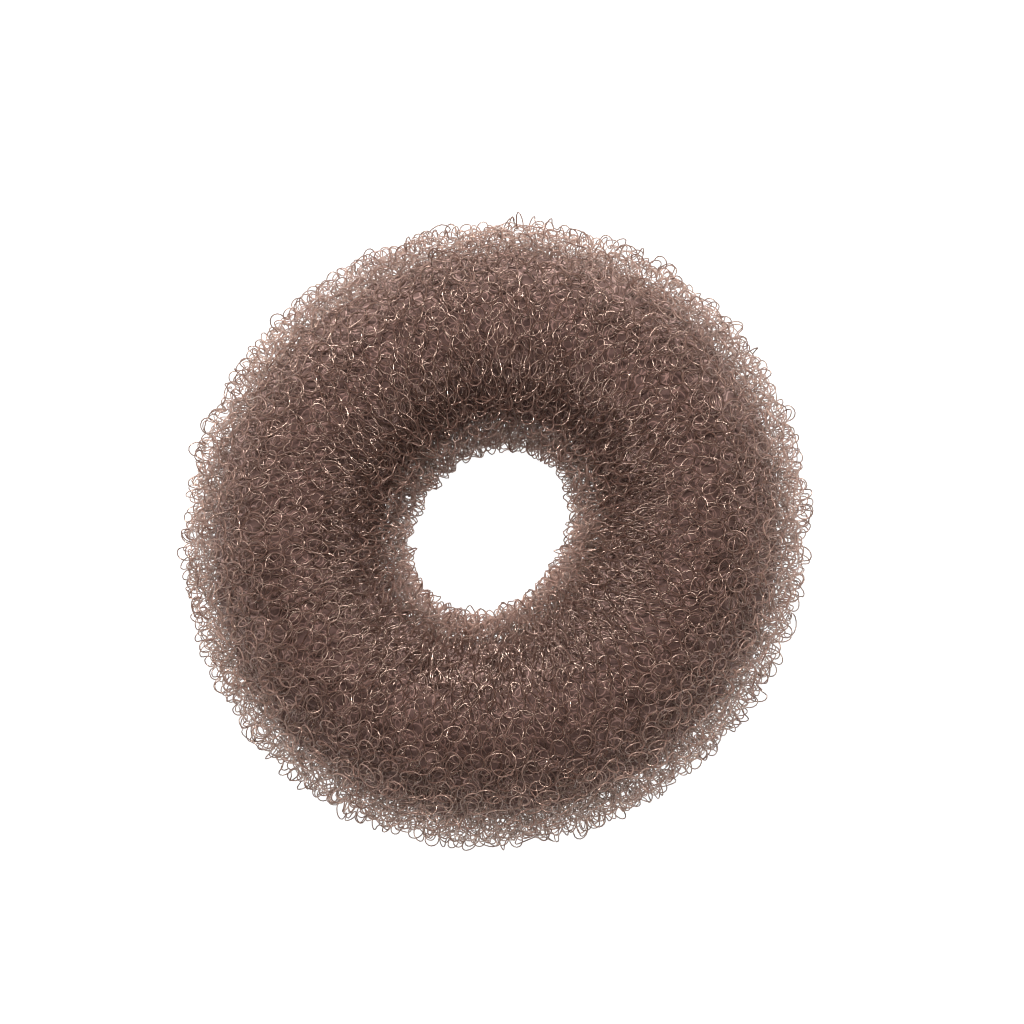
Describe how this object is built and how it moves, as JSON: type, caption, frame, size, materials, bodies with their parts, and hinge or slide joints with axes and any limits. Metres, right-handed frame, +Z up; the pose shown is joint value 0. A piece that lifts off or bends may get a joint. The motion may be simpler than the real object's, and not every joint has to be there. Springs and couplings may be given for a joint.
{
  "type": "hair donut bun maker",
  "caption": "Soft brown ring for shaping a hair bun: a tube of open knitted nylon mesh rolled up on itself like a stocking, with a round hole for the ponytail.",
  "frame": {"origin": "middle of the ring, on the flat surface that it rests on", "axes": "+Z up, through the hole from its underside to its top; +X to the right and +Y away from a viewer who looks down on it as the picture does; the slight oval's long axis lies 48 degrees from +X towards +Y"},
  "size_m": [0.0886, 0.089, 0.032],
  "materials": {
    "nylon_mesh": "open knit of fine, slightly glossy brown nylon monofilament"
  },
  "bodies": {
    "root": {"mesh_roll": "nylon_mesh"}
  },
  "joints": []
}
